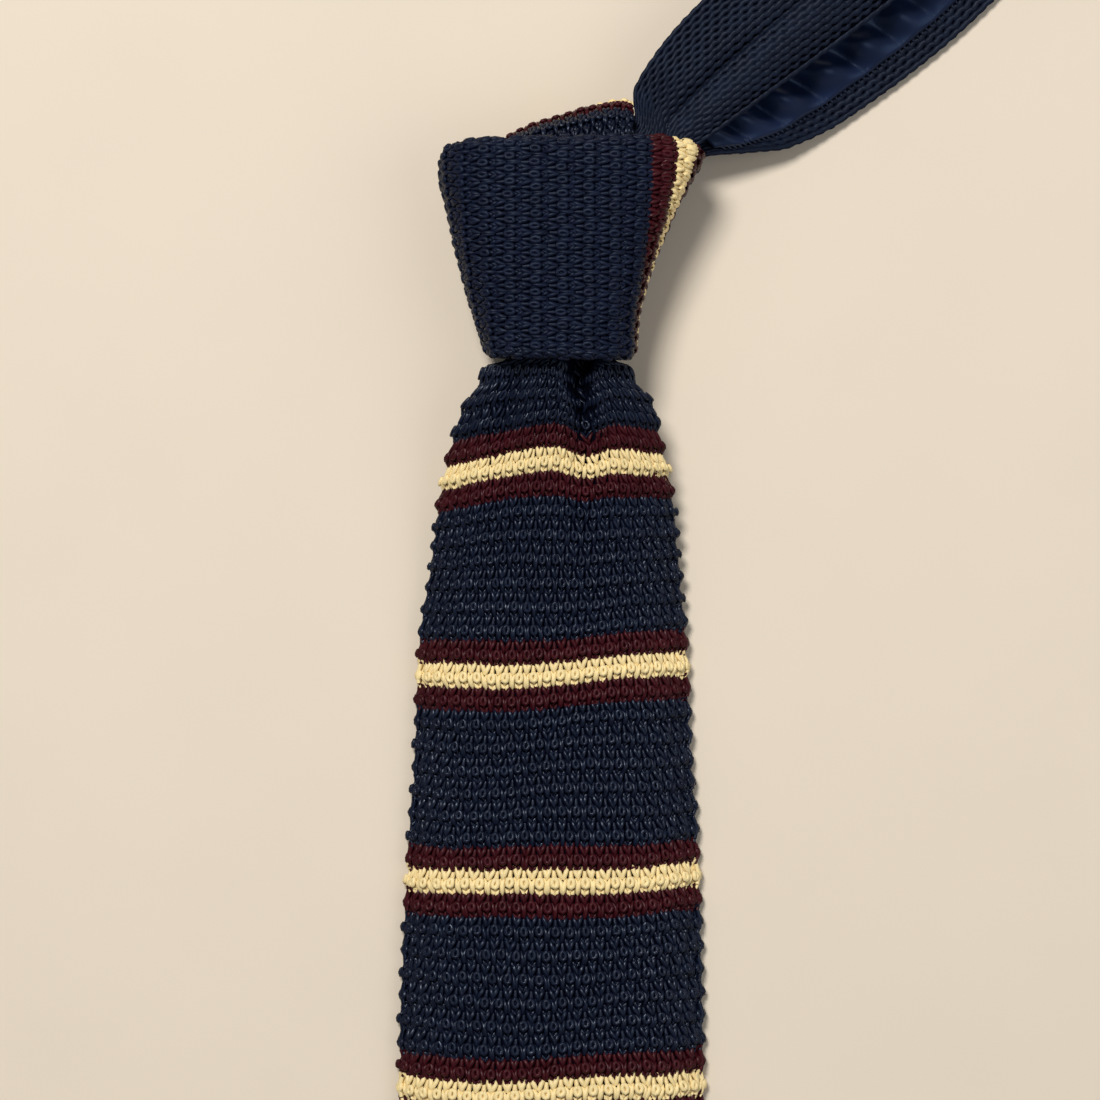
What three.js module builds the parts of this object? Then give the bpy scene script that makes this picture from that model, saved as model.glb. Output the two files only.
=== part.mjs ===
// A striped knit necktie, tied in a four-in-hand knot and lying face up on a flat surface.
// Millimetres, +Z up. The origin is on the surface, under the middle of the knot. +Y points from the
// front blade's free end to the knot, and +X is to the right of someone who looks down on its face.

import * as THREE from "three";

// The ribbed knit. Blade and tail are knitted as tubes and lie flattened, so each is two layers.
const knitWall = 2.0;
const layerGap = 0.6;
const ribPitch = 4.5;
const ribDepth = 0.8;
const clearance = 0.35;

// The front blade, from the knot's mouth to its free end.
const bladeWidth = 60;
const bladeLength = 158;
const bladeDroop = 5.6;
const firstRib = 2.2;
const endHem = 1.6;
const dimpleDepth = 5.8;
const dimpleHalfWidth = 1.8;
const dimpleDrag = 2.2;
const creaseDepth = 1.6;
const creaseHalfWidth = 3.2;

// The knot. Its wrap is a band of the same cloth round all that passes through it.
const knotHeight = 44;
const knotTopHalfWidth = 25;
const knotDepth = 26;
const wrapThickness = 3.5;
const wrapRibs = 24;
const wrapRibPitch = 5;
const ribLineX = -2.1;
const wrapSink = 1.4;
const faceSquareness = 3.5;
const backSquareness = 4;

// Where the blade passes through the knot and turns over its top.
const mouthWidth = 21.4;
const mouthThickness = 10.4;
const passWidth = 26.6;
const passX = 1.0;
const passCrown = 1.7;
const passThickness = 5.2;
const turnRadius = 6.1;
const turnSlant = 0.31;
const turnTop = 25.3;
const turnBackLength = 11;
const turnRibAngle = 24;

// The tail, which comes out of the knot under the front blade.
const tailWidth = 41;
const tailLength = 162;
const tailStart = 1;
const tailThickness = 4.2;

// The neck loop, a band of fine mesh knit with a satin lining on the side that faces the neck.
const neckWidth = 28;
const neckThickness = 1.8;
const armLength = 215;
const armStart = new THREE.Vector2(3, 3);
const loopHeight = 18.4;
const liningWidth = 16;
const liningThickness = 0.6;
const liningStart = 0.14;
const liningGap = 0.7;

const mouthY = -knotHeight / 2;
const flatThickness = 2 * knitWall + layerGap;
const restHeight = tailThickness + clearance + flatThickness / 2;
const turnBackHeight = wrapThickness + clearance + passThickness / 2;
const turnFrontHeight = turnBackHeight + 2 * turnRadius;
const turnY = turnTop - turnRadius - passThickness / 2;
const tailPassHeight = wrapThickness + clearance + tailThickness / 2;
const mouthHeight = tailPassHeight + (tailThickness + mouthThickness) / 2 + clearance;

// The blade below the knot. along is a share of bladeLength, width and middle of bladeWidth. lift runs
// from 0 where it rests on the tail to 1 at the height of the mouth, and puff from a flat tube to the
// mouth's thickness. dimple and crease are shares of their depths, and fold is where the dimple runs, a
// share of bladeWidth. arc is how far a row of knit hangs back at the edges, a share of bladeWidth, and
// skew is the row's slope.
const bladeRows = [
  { along: 0, width: 0.357, middle: 0, lift: 1, puff: 1,
    dimple: 1, fold: 0.062, crease: 0.5, arc: 0, skew: 0 },
  { along: 0.003, width: 0.368, middle: -0.004, lift: 1, puff: 1,
    dimple: 1, fold: 0.062, crease: 0.5, arc: 0, skew: 0 },
  { along: 0.0085, width: 0.445, middle: -0.01, lift: 0.99, puff: 1,
    dimple: 1, fold: 0.065, crease: 0.7, arc: 0.002, skew: 0 },
  { along: 0.022, width: 0.515, middle: -0.01, lift: 0.96, puff: 1,
    dimple: 1, fold: 0.07, crease: 0.8, arc: 0.01, skew: 0.02 },
  { along: 0.05, width: 0.633, middle: -0.01, lift: 0.87, puff: 0.86,
    dimple: 0.95, fold: 0.088, crease: 1, arc: 0.022, skew: 0.04 },
  { along: 0.097, width: 0.708, middle: -0.016, lift: 0.66, puff: 0.6,
    dimple: 0.76, fold: 0.1, crease: 0.7, arc: 0.034, skew: 0.055 },
  { along: 0.17, width: 0.783, middle: -0.016, lift: 0.42, puff: 0.3,
    dimple: 0.4, fold: 0.096, crease: 0.25, arc: 0.028, skew: 0.062 },
  { along: 0.243, width: 0.818, middle: -0.018, lift: 0.24, puff: 0.13,
    dimple: 0.18, fold: 0.09, crease: 0.05, arc: 0.014, skew: 0.066 },
  { along: 0.353, width: 0.882, middle: -0.025, lift: 0.09, puff: 0.03,
    dimple: 0.05, fold: 0.09, crease: 0, arc: 0.004, skew: 0.064 },
  { along: 0.475, width: 0.907, middle: -0.024, lift: 0.02, puff: 0,
    dimple: 0, fold: 0.09, crease: 0, arc: 0, skew: 0.054 },
  { along: 0.608, width: 0.955, middle: -0.024, lift: 0, puff: 0,
    dimple: 0, fold: 0.09, crease: 0, arc: 0, skew: 0.042 },
  { along: 0.851, width: 1, middle: -0.029, lift: 0, puff: 0,
    dimple: 0, fold: 0.09, crease: 0, arc: 0, skew: 0.033 },
  { along: 1, width: 1.01, middle: -0.03, lift: 0, puff: 0,
    dimple: 0, fold: 0.09, crease: 0, arc: 0, skew: 0.03 },
];

// The blade's way up through the knot. up is a share of the way from the mouth to the turn. width, slim
// and raise run from the mouth's width, thickness and height at 0 to the pass's at 1.
const passRows = [
  { up: 0, width: 0, slim: 0, raise: 0 },
  { up: 0.22, width: 0.28, slim: 0.45, raise: 0.5 },
  { up: 0.48, width: 0.72, slim: 1, raise: 1 },
  { up: 0.74, width: 1, slim: 1, raise: 1 },
  { up: 1, width: 1, slim: 1, raise: 1 },
];

// The knot's outline. rise is a share of knotHeight from the mouth, left and right are shares of
// knotTopHalfWidth, and depth is a share of knotDepth.
const knotRows = [
  { rise: 0, left: 0.588, right: 0.588, depth: 0.92 },
  { rise: 0.15, left: 0.65, right: 0.602, depth: 0.94 },
  { rise: 0.3, left: 0.728, right: 0.66, depth: 0.96 },
  { rise: 0.48, left: 0.812, right: 0.768, depth: 0.98 },
  { rise: 0.66, left: 0.88, right: 0.908, depth: 1 },
  { rise: 0.8, left: 0.93, right: 1.04, depth: 1 },
  { rise: 0.88, left: 0.928, right: 1.12, depth: 0.985 },
  { rise: 1, left: 0.87, right: 1.16, depth: 0.95 },
];

// The wrap's two rims, as shares of knotHeight from the mouth. turn goes once round the knot, from its
// right side over the face and the left side to the back.
const rimRows = [
  { turn: 0, top: 0.875, foot: 0.01 },
  { turn: 0.07, top: 0.93, foot: -0.015 },
  { turn: 0.13, top: 0.955, foot: -0.02 },
  { turn: 0.25, top: 0.95, foot: -0.015 },
  { turn: 0.38, top: 0.942, foot: -0.01 },
  { turn: 0.44, top: 0.93, foot: 0.0 },
  { turn: 0.5, top: 0.865, foot: 0.015 },
  { turn: 0.62, top: 0.79, foot: 0.045 },
  { turn: 0.75, top: 0.77, foot: 0.05 },
  { turn: 0.9, top: 0.79, foot: 0.04 },
  { turn: 1, top: 0.875, foot: 0.01 },
];

// The tail. along is a share of tailLength and width of tailWidth. lift runs from lying on the surface to
// the height at which it passes through the knot, and slim from a flat tube to a rounder one.
const tailRows = [
  { along: 0, width: 0.42, lift: 1, slim: 1 },
  { along: 0.12, width: 0.44, lift: 1, slim: 1 },
  { along: 0.155, width: 0.46, lift: 0.96, slim: 1 },
  { along: 0.2, width: 0.6, lift: 0.45, slim: 0.8 },
  { along: 0.25, width: 0.7, lift: 0.06, slim: 0.5 },
  { along: 0.3, width: 0.76, lift: 0, slim: 0.3 },
  { along: 0.5, width: 0.87, lift: 0, slim: 0 },
  { along: 0.8, width: 0.98, lift: 0, slim: 0 },
  { along: 1, width: 1, lift: 0, slim: 0 },
];

// The neck loop from the knot to its far bend. along is a share of armLength and heading the way it runs,
// in degrees from +X. For the upper and the lower arm, width is a share of neckWidth, height a share of
// loopHeight, and offset, to the right of the loop's line, a share of neckWidth. crown is how far the upper
// arm's edges hang, a share of neckWidth, and groove a share of grooveDepth.
const armRows = [
  { along: 0.0, heading: 52, upperWidth: 0.36, upperHeight: 0.69, upperOffset: 0.07,
    lowerWidth: 0.34, lowerHeight: 0.54, lowerOffset: 0.02, crown: 0.0, groove: 0.0 },
  { along: 0.104, heading: 50, upperWidth: 0.42, upperHeight: 0.69, upperOffset: 0.07,
    lowerWidth: 0.42, lowerHeight: 0.54, lowerOffset: 0.05, crown: 0.01, groove: 0.0 },
  { along: 0.13, heading: 49, upperWidth: 0.6, upperHeight: 0.73, upperOffset: 0.0,
    lowerWidth: 0.56, lowerHeight: 0.44, lowerOffset: 0.12, crown: 0.04, groove: 0.6 },
  { along: 0.16, heading: 46, upperWidth: 0.7, upperHeight: 0.79, upperOffset: 0.0,
    lowerWidth: 0.72, lowerHeight: 0.3, lowerOffset: 0.22, crown: 0.08, groove: 1.0 },
  { along: 0.2, heading: 42, upperWidth: 0.78, upperHeight: 0.8, upperOffset: 0.0,
    lowerWidth: 0.86, lowerHeight: 0.14, lowerOffset: 0.33, crown: 0.1, groove: 1.0 },
  { along: 0.26, heading: 39, upperWidth: 0.84, upperHeight: 0.77, upperOffset: 0.0,
    lowerWidth: 0.93, lowerHeight: 0.02, lowerOffset: 0.39, crown: 0.11, groove: 0.6 },
  { along: 0.36, heading: 40, upperWidth: 0.9, upperHeight: 0.72, upperOffset: 0.0,
    lowerWidth: 0.95, lowerHeight: 0.0, lowerOffset: 0.42, crown: 0.1, groove: 0.15 },
  { along: 0.52, heading: 46, upperWidth: 0.95, upperHeight: 0.68, upperOffset: 0.0,
    lowerWidth: 0.97, lowerHeight: 0.0, lowerOffset: 0.34, crown: 0.08, groove: 0.0 },
  { along: 0.7, heading: 53, upperWidth: 0.98, upperHeight: 0.72, upperOffset: 0.0,
    lowerWidth: 0.99, lowerHeight: 0.0, lowerOffset: 0.2, crown: 0.05, groove: 0.0 },
  { along: 0.88, heading: 58, upperWidth: 1.0, upperHeight: 0.9, upperOffset: 0.0,
    lowerWidth: 1.0, lowerHeight: 0.0, lowerOffset: 0.07, crown: 0.015, groove: 0.0 },
  { along: 1.0, heading: 60, upperWidth: 1.0, upperHeight: 1.0, upperOffset: 0.0,
    lowerWidth: 1.0, lowerHeight: 0.0, lowerOffset: 0.0, crown: 0.0, groove: 0.0 },
];
const grooveDepth = 1.3;
const grooveHalfWidth = 3.6;
const groovePlace = 0.12;

const { lerp, degToRad } = THREE.MathUtils;

// A smooth function through one column of a table against another, with no overshoot between rows.
function curve(rows, at, name) {
  const x = rows.map((row) => row[at]);
  const y = rows.map((row) => row[name]);
  const rise = x.slice(1).map((next, i) => (y[i + 1] - y[i]) / (next - x[i]));
  const slope = x.map((_, i) => {
    const before = rise[i - 1] ?? 0;
    const after = rise[i] ?? 0;
    return before * after > 0 ? (2 * before * after) / (before + after) : 0;
  });
  return (place) => {
    const p = THREE.MathUtils.clamp(place, x[0], x[x.length - 1]);
    const i = Math.min(Math.max(x.findIndex((next) => next > p) - 1, 0), x.length - 2);
    const j = p >= x[x.length - 1] ? x.length - 2 : i;
    const step = x[j + 1] - x[j];
    const t = (p - x[j]) / step;
    return (
      y[j] * (1 + 2 * t) * (1 - t) ** 2 +
      y[j + 1] * t * t * (3 - 2 * t) +
      step * (slope[j] * t * (1 - t) ** 2 - slope[j + 1] * t * t * (1 - t))
    );
  };
}

// One function for each column of a table but the first.
function curves(rows, at) {
  const names = Object.keys(rows[0]).filter((name) => name !== at);
  return Object.fromEntries(names.map((name) => [name, curve(rows, at, name)]));
}

const bell = (distance, halfWidth) => Math.exp(-((distance / halfWidth) ** 2));

// A closed surface from rings of points. A hollow tube also has inner rings, and opens at its first ring.
function loft(outer, inner = []) {
  const rings = [...inner.slice().reverse(), ...outer];
  const size = outer[0].length;
  const points = rings.flat();
  const index = [];
  for (let i = 0; i + 1 < rings.length; i++) {
    for (let j = 0; j < size; j++) {
      const a = i * size + j;
      const b = i * size + ((j + 1) % size);
      index.push(a, b, a + size, b, b + size, a + size);
    }
  }
  for (const [first, turned] of [[0, true], [(rings.length - 1) * size, false]]) {
    const ring = points.slice(first, first + size);
    const middle = points.length;
    points.push(ring.reduce((sum, p) => sum.add(p), new THREE.Vector3()).divideScalar(size));
    for (let j = 0; j < size; j++) {
      const a = first + j;
      const b = first + ((j + 1) % size);
      index.push(...(turned ? [b, a, middle] : [a, b, middle]));
    }
  }
  return solid(points, index);
}

// A ring-shaped surface: sections that follow each other once round, each a closed ring of points.
function loop(sections) {
  const count = sections.length;
  const size = sections[0].length;
  const index = [];
  for (let i = 0; i < count; i++) {
    const next = ((i + 1) % count) * size;
    for (let j = 0; j < size; j++) {
      const k = (j + 1) % size;
      index.push(i * size + j, i * size + k, next + j, i * size + k, next + k, next + j);
    }
  }
  return solid(sections.flat(), index);
}

// The geometry of a closed surface, with its faces turned outwards.
function solid(points, index) {
  let volume = 0;
  for (let i = 0; i < index.length; i += 3) {
    const [a, b, c] = index.slice(i, i + 3).map((n) => points[n]);
    volume += a.dot(new THREE.Vector3().crossVectors(b, c));
  }
  if (volume < 0) index.reverse();
  const geometry = new THREE.BufferGeometry().setFromPoints(points).setIndex(index);
  geometry.computeVertexNormals();
  return geometry;
}

// Places round a flattened section: across runs from -1 to 1 over the face, then back under it.
function placesRound(faceSteps, backSteps) {
  const places = [];
  for (let i = 0; i <= faceSteps; i++) {
    places.push({ across: Math.sin(Math.PI * (i / faceSteps - 0.5)), side: 1 });
  }
  for (let i = 1; i < backSteps; i++) {
    places.push({ across: Math.sin(Math.PI * (0.5 - i / backSteps)), side: -1 });
  }
  return places;
}

// The same for the front blade, with places close together across its dimple.
function bladePlaces(width, dimpleX, backSteps) {
  const fold = (2 * dimpleX) / width;
  const step = (1.6 * dimpleHalfWidth) / width;
  const near = (t) => 1 - Math.cos((Math.PI / 2) * t);
  const face = [
    ...[0, 1 / 6, 1 / 3, 1 / 2, 2 / 3, 5 / 6].map((t) => -1 + (fold - 2 * step + 1) * near(t)),
    ...[-2, -1, 0, 1, 2].map((n) => fold + n * step),
    ...[3 / 4, 1 / 2, 1 / 4, 0].map((t) => 1 - (1 - fold - 2 * step) * near(t)),
  ];
  return [
    ...face.map((across) => ({ across, side: 1 })),
    ...placesRound(1, backSteps).filter(({ side }) => side < 0),
  ];
}

// One ring of points round a flattened section of cloth. bend(share across, distance across, side) moves
// the section's middle surface outwards, and along(share across, distance across) moves the row of knit
// along the cloth.
function section(place, places) {
  const { centre, acrossAxis, outAxis, alongAxis, width, thickness, roundness, bend, along } = place;
  return places.map(({ across, side }) => {
    const distance = (width / 2) * across;
    const edge = Math.sqrt(Math.max(0, 1 - Math.abs(across) ** roundness));
    const out = (side * edge * thickness) / 2 + bend(across, distance, side);
    const point = centre
      .clone()
      .addScaledVector(acrossAxis, distance)
      .addScaledVector(outAxis, out)
      .addScaledVector(alongAxis, along(across, distance));
    point.z = Math.max(point.z, place.floor);
    return point;
  });
}

const X = new THREE.Vector3(1, 0, 0);
const Y = new THREE.Vector3(0, 1, 0);
const Z = new THREE.Vector3(0, 0, 1);

// The same section with its outline drawn in by some depth, as for a valley between ribs or an inner wall.
const drawnIn = (place, depth) => ({
  ...place,
  width: place.width - 2 * depth,
  thickness: place.thickness - 2 * depth,
});

const blade = curves(bladeRows, "along");
const pass = curves(passRows, "up");
const tail = curves(tailRows, "along");
const knot = curves(knotRows, "rise");
const rim = curves(rimRows, "turn");
const arm = curves(armRows, "along");

// The front blade's section at a distance below the knot's mouth.
function bladePlace(distance) {
  const share = distance / bladeLength;
  const width = blade.width(share) * bladeWidth;
  const puff = blade.puff(share);
  const dimpleX = blade.fold(share) * bladeWidth;
  const creaseX = -0.3 * width + 0.1 * distance;
  return {
    dimpleX,
    centre: new THREE.Vector3(
      blade.middle(share) * bladeWidth,
      mouthY - distance,
      lerp(restHeight, mouthHeight, blade.lift(share)),
    ),
    acrossAxis: X,
    outAxis: Z,
    alongAxis: Y,
    width,
    thickness: lerp(flatThickness, mouthThickness, puff),
    roundness: lerp(6, 2.5, Math.min(1, 1.5 * puff)),
    floor: 0,
    bend: (across, x, side) =>
      -bladeDroop * (1 - puff) * across ** 4 -
      (side > 0 ? dimpleDepth * blade.dimple(share) * bell(x - dimpleX, dimpleHalfWidth) : 0) -
      (side > 0 ? creaseDepth * blade.crease(share) * bell(x - creaseX, creaseHalfWidth) : 0),
    along: (across, x) =>
      blade.skew(share) * x -
      blade.arc(share) * bladeWidth * across ** 2 -
      dimpleDrag * blade.dimple(share) * bell(x - dimpleX, 2 * dimpleHalfWidth),
  };
}

// Its section inside the knot, at a share of the way from the mouth up to the turn.
function passPlace(up) {
  const slant = turnSlant * THREE.MathUtils.smoothstep(up, 0.5, 1);
  const dimpleX = blade.fold(0) * bladeWidth;
  return {
    dimpleX,
    centre: new THREE.Vector3(
      passX * pass.width(up),
      lerp(mouthY, turnY, up),
      lerp(mouthHeight, turnFrontHeight, pass.raise(up)),
    ),
    acrossAxis: X,
    outAxis: Z,
    alongAxis: Y,
    width: lerp(mouthWidth, passWidth, pass.width(up)),
    thickness: lerp(mouthThickness, passThickness, pass.slim(up)),
    roundness: lerp(2.5, 4, pass.slim(up)),
    floor: 0,
    bend: (across, x, side) =>
      -passCrown * pass.slim(up) * across ** 2 -
      (side > 0 ? dimpleDepth * (1 - pass.slim(up)) * bell(x - dimpleX, dimpleHalfWidth) : 0),
    along: (across, x) => slant * x,
  };
}

// Its section in the turn over the knot's top, at an angle from the face to the back.
function turnPlace(degrees) {
  const angle = degToRad(degrees);
  const outAxis = new THREE.Vector3(0, Math.sin(angle), Math.cos(angle));
  return {
    ...passPlace(1),
    centre: new THREE.Vector3(passX, turnY, turnBackHeight + turnRadius).addScaledVector(
      outAxis,
      turnRadius,
    ),
    outAxis,
    bend: (across) => -passCrown * Math.max(0, outAxis.z) * across ** 2,
  };
}

// Its section behind the turn, where it goes down again.
function backPlace(distance) {
  const start = turnPlace(180);
  return { ...start, centre: start.centre.clone().addScaledVector(Y, -distance) };
}

function frontBlade() {
  const ring = (place, depth = 0) => {
    const drawn = drawnIn(place, depth);
    return section(drawn, bladePlaces(drawn.width, place.dimpleX, 7));
  };
  const outer = [ring(backPlace(turnBackLength)), ring(backPlace(turnBackLength / 2))];
  const turnRibs = Math.floor(180 / turnRibAngle);
  for (let half = 2 * turnRibs; half >= 0; half--) {
    outer.push(ring(turnPlace((half * turnRibAngle) / 2), half % 2 ? ribDepth : 0));
  }
  for (const up of [0.9, 0.74, 0.5, 0.3, 0.14, 0]) outer.push(ring(passPlace(up)));
  outer.push(ring(bladePlace(firstRib / 3)), ring(bladePlace((2 * firstRib) / 3)));
  const halfRibs = Math.floor((2 * (bladeLength - endHem - firstRib)) / ribPitch);
  for (let half = 0; half <= halfRibs; half++) {
    outer.push(ring(bladePlace(firstRib + (half * ribPitch) / 2), half % 2 ? ribDepth : 0));
  }
  outer.push(ring(bladePlace(bladeLength), ribDepth));

  const wall = (place) => ring({ ...place, floor: knitWall }, knitWall);
  const hollow = [wall(backPlace(turnBackLength)), wall(backPlace(0))];
  for (const degrees of [150, 120, 90, 60, 30, 0]) hollow.push(wall(turnPlace(degrees)));
  for (const up of [0.74, 0.48, 0.22, 0]) hollow.push(wall(passPlace(up)));
  const hollowEnd = bladeLength - 2 * ribPitch;
  const hollowSteps = 14;
  for (let i = 1; i <= hollowSteps; i++) {
    hollow.push(wall(bladePlace(hollowEnd * (i / hollowSteps) ** 1.4)));
  }
  return loft(outer, hollow);
}

// The tail's section at a share of its length.
function tailPlace(share) {
  const slim = tail.slim(share);
  return {
    centre: new THREE.Vector3(
      0,
      tailStart - share * tailLength,
      lerp(tailThickness / 2, tailPassHeight, tail.lift(share)),
    ),
    acrossAxis: X,
    outAxis: Z,
    alongAxis: Y,
    width: tail.width(share) * tailWidth,
    thickness: tailThickness,
    roundness: lerp(4, 2.5, slim),
    floor: 0,
    bend: () => 0,
    along: () => 0,
  };
}

function tailBlade() {
  const places = placesRound(8, 5);
  const halfRibs = Math.floor((2 * (tailLength - endHem)) / ribPitch);
  const outer = [];
  for (let half = 0; half <= halfRibs; half++) {
    const place = tailPlace((half * ribPitch) / 2 / tailLength);
    outer.push(section(drawnIn(place, half % 2 ? ribDepth : 0), places));
  }
  outer.push(section(drawnIn(tailPlace(1), ribDepth), places));
  const wall = tailThickness / 2 - layerGap / 2;
  const hollowSteps = 12;
  const hollow = [];
  for (let i = 0; i <= hollowSteps; i++) {
    const place = tailPlace((i / hollowSteps) * (1 - (2 * ribPitch) / tailLength));
    hollow.push(section(drawnIn({ ...place, floor: wall }, wall), places));
  }
  return loft(outer, hollow);
}

// The knot's outline at a height, drawn in by some depth: its girth, its point at a share of the way round
// it from the right side, and the share at which its face has some x. It is boxier at the back, where it
// lies on the surface.
function knotOutline(y, depth) {
  const rise = (y - mouthY) / knotHeight;
  const halfDepth = (knot.depth(rise) * knotDepth) / 2;
  const steps = 240;
  const points = [];
  for (let i = 0; i <= steps; i++) {
    const angle = (2 * Math.PI * i) / steps;
    const [c, s] = [Math.cos(angle), Math.sin(angle)];
    const power = 2 / (s > 0 ? faceSquareness : backSquareness);
    const side = knotTopHalfWidth * (c > 0 ? knot.right(rise) : knot.left(rise)) - depth;
    const reach = s > 0 ? halfDepth - depth : halfDepth + wrapSink * (1 - depth / wrapThickness) - depth;
    const x = side * Math.sign(c) * Math.abs(c) ** power;
    const z = halfDepth + reach * Math.sign(s) * Math.abs(s) ** power;
    points.push(new THREE.Vector2(x, Math.max(z, 0)));
  }
  const lengths = [0];
  for (let i = 1; i <= steps; i++) lengths.push(lengths[i - 1] + points[i].distanceTo(points[i - 1]));
  const girth = lengths[steps];
  return {
    girth,
    point: (share) => {
      const goal = (share - Math.floor(share)) * girth;
      const i = Math.max(1, lengths.findIndex((length) => length >= goal));
      const t = (goal - lengths[i - 1]) / (lengths[i] - lengths[i - 1]);
      return points[i - 1].clone().lerp(points[i], t);
    },
    shareAt: (x) => {
      const i = points.findIndex((point) => point.x < x);
      const t = (x - points[i - 1].x) / (points[i].x - points[i - 1].x);
      return lerp(lengths[i - 1], lengths[i], t) / girth;
    },
  };
}

// The share of the way round the knot at which a rib lies at a height. Ribs run straight up the face, a
// pitch apart on both sides of ribLineX, and the back takes up what is left. rib is -0.5 to 0.5, from back
// to back.
function ribShare(rib, y) {
  const outline = knotOutline(y, 0);
  const squeeze = (wrapRibs * wrapRibPitch) / outline.girth;
  const evenUpTo = 0.25;
  const past = Math.max(0, (Math.abs(rib) - evenUpTo) / (0.5 - evenUpTo)) ** 1.2;
  const from = squeeze * Math.abs(rib) + 0.5 * (1 - squeeze) * past;
  return outline.shareAt(ribLineX) + Math.sign(rib) * from;
}

function knotWrap() {
  const sections = [];
  const columns = 2 * wrapRibs;
  const face = [0.03, 0.18, 0.36, 0.54, 0.72, 0.88, 0.97];
  const lip = [
    { rise: 0.99, inset: 0.2 },
    { rise: 1.0, inset: 0.5 },
    { rise: 0.99, inset: 0.8 },
  ];
  const inside = [0.95, 0.66, 0.33, 0.05];
  const round = [
    ...face.map((rise) => ({ rise, inset: 0 })),
    ...lip,
    ...inside.map((rise) => ({ rise, inset: 1 })),
    ...lip.map(({ rise, inset }) => ({ rise: 1 - rise, inset: 1 - inset })),
  ];
  const whole = (share) => share - Math.floor(share);
  for (let column = 0; column < columns; column++) {
    const rib = column / columns - 0.5;
    const valley = column % 2 ? 0 : ribDepth;
    const foot = rim.foot(whole(ribShare(rib, mouthY)));
    const top = rim.top(whole(ribShare(rib, mouthY + knotHeight)));
    sections.push(
      round.map(({ rise, inset }) => {
        const y = mouthY + lerp(foot, top, rise) * knotHeight;
        const depth = inset * wrapThickness + (1 - inset) * valley;
        const point = knotOutline(y, depth).point(ribShare(rib, y));
        return new THREE.Vector3(point.x, y, point.y);
      }),
    );
  }
  return loop(sections);
}

// Where the loop's middle line runs in plan, at a share of the arm's length.
const armLine = (() => {
  const steps = 400;
  const points = [armStart.clone()];
  for (let i = 0; i < steps; i++) {
    const heading = degToRad(arm.heading((i + 0.5) / steps));
    const direction = new THREE.Vector2(Math.cos(heading), Math.sin(heading));
    points.push(points[i].clone().addScaledVector(direction, armLength / steps));
  }
  return (share) => {
    const i = Math.min(Math.floor(share * steps), steps - 1);
    return points[i].clone().lerp(points[i + 1], share * steps - i);
  };
})();

// One place on the neck band. way goes from 0 in the knot along the upper arm to 1, round the bend to 2,
// and back along the lower arm to 3.
function bandPlace(way) {
  const share = way <= 1 ? way : way < 2 ? 1 : 3 - way;
  const upper = way < 1.5;
  const heading = degToRad(arm.heading(share));
  const forward = new THREE.Vector3(Math.cos(heading), Math.sin(heading), 0);
  const right = new THREE.Vector3(forward.y, -forward.x, 0);
  const line = armLine(share);
  const low = neckThickness / 2;
  const centre = new THREE.Vector3(line.x, line.y, low);
  let outAxis = Z.clone().multiplyScalar(upper ? 1 : -1);
  if (way > 1 && way < 2) {
    const angle = Math.PI * (way - 1);
    outAxis = Z.clone().multiplyScalar(Math.cos(angle)).addScaledVector(forward, Math.sin(angle));
    centre.z += loopHeight / 2;
    centre.addScaledVector(outAxis, loopHeight / 2);
  } else {
    const height = upper ? arm.upperHeight(share) : arm.lowerHeight(share);
    centre.z += height * loopHeight;
    const offset = upper ? arm.upperOffset(share) : arm.lowerOffset(share);
    centre.addScaledVector(right, offset * neckWidth);
  }
  const crown = upper && way <= 1 ? arm.crown(share) * neckWidth : 0;
  const groove = upper && way <= 1 ? arm.groove(share) * grooveDepth : 0;
  const width = neckWidth * (upper ? arm.upperWidth(share) : arm.lowerWidth(share));
  return {
    centre,
    acrossAxis: right,
    outAxis,
    alongAxis: forward,
    width,
    thickness: neckThickness,
    roundness: 4,
    floor: 0,
    bend: (across, x) =>
      -crown * across ** 2 - groove * bell(x - (groovePlace * width) / 2, grooveHalfWidth),
    along: () => 0,
  };
}

// The ways at which the band has a section: close together by the knot and in the bend.
function bandWays(start) {
  const arms = 24;
  const bendSteps = 8;
  const upper = [];
  for (let i = 0; i <= arms; i++) upper.push(lerp(start, 1, (i / arms) ** 1.25));
  const bend = [];
  for (let i = 1; i < bendSteps; i++) bend.push(1 + i / bendSteps);
  return [...upper, ...bend, ...upper.map((way) => 3 - way).reverse()];
}

const neckBand = () => loft(bandWays(0).map((way) => section(bandPlace(way), placesRound(8, 6))));

// The lining lies on the band's inner side, clear of it.
function neckLining() {
  const places = placesRound(8, 4);
  const inward = (neckThickness + liningThickness) / 2 + liningGap;
  return loft(
    bandWays(liningStart).map((way) => {
      const place = bandPlace(way);
      place.centre.addScaledVector(place.outAxis, -inward);
      const bandWidth = place.width;
      const width = Math.min(liningWidth, 0.8 * bandWidth);
      const bend = (across, x) => place.bend((2 * x) / bandWidth, x);
      return section({ ...place, width, thickness: liningThickness, bend }, places);
    }),
  );
}

const navy = { color: 0x1a2030, roughness: 0.6, metalness: 0 };
const pieces = [
  { name: "front_blade", geometry: frontBlade(), look: navy },
  { name: "knot_wrap", geometry: knotWrap(), look: { ...navy, color: 0x1d2434 } },
  { name: "tail_blade", geometry: tailBlade(), look: navy },
  { name: "neck_band", geometry: neckBand(), look: { ...navy, color: 0x1c2333 } },
  { name: "neck_lining", geometry: neckLining(), look: { color: 0x1a2440, roughness: 0.3, metalness: 0 } },
];

const tie = new THREE.Group();
for (const { name, geometry, look } of pieces) {
  const mesh = new THREE.Mesh(geometry, new THREE.MeshStandardMaterial(look));
  mesh.name = name;
  tie.add(mesh);
}

export default tie;
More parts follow.
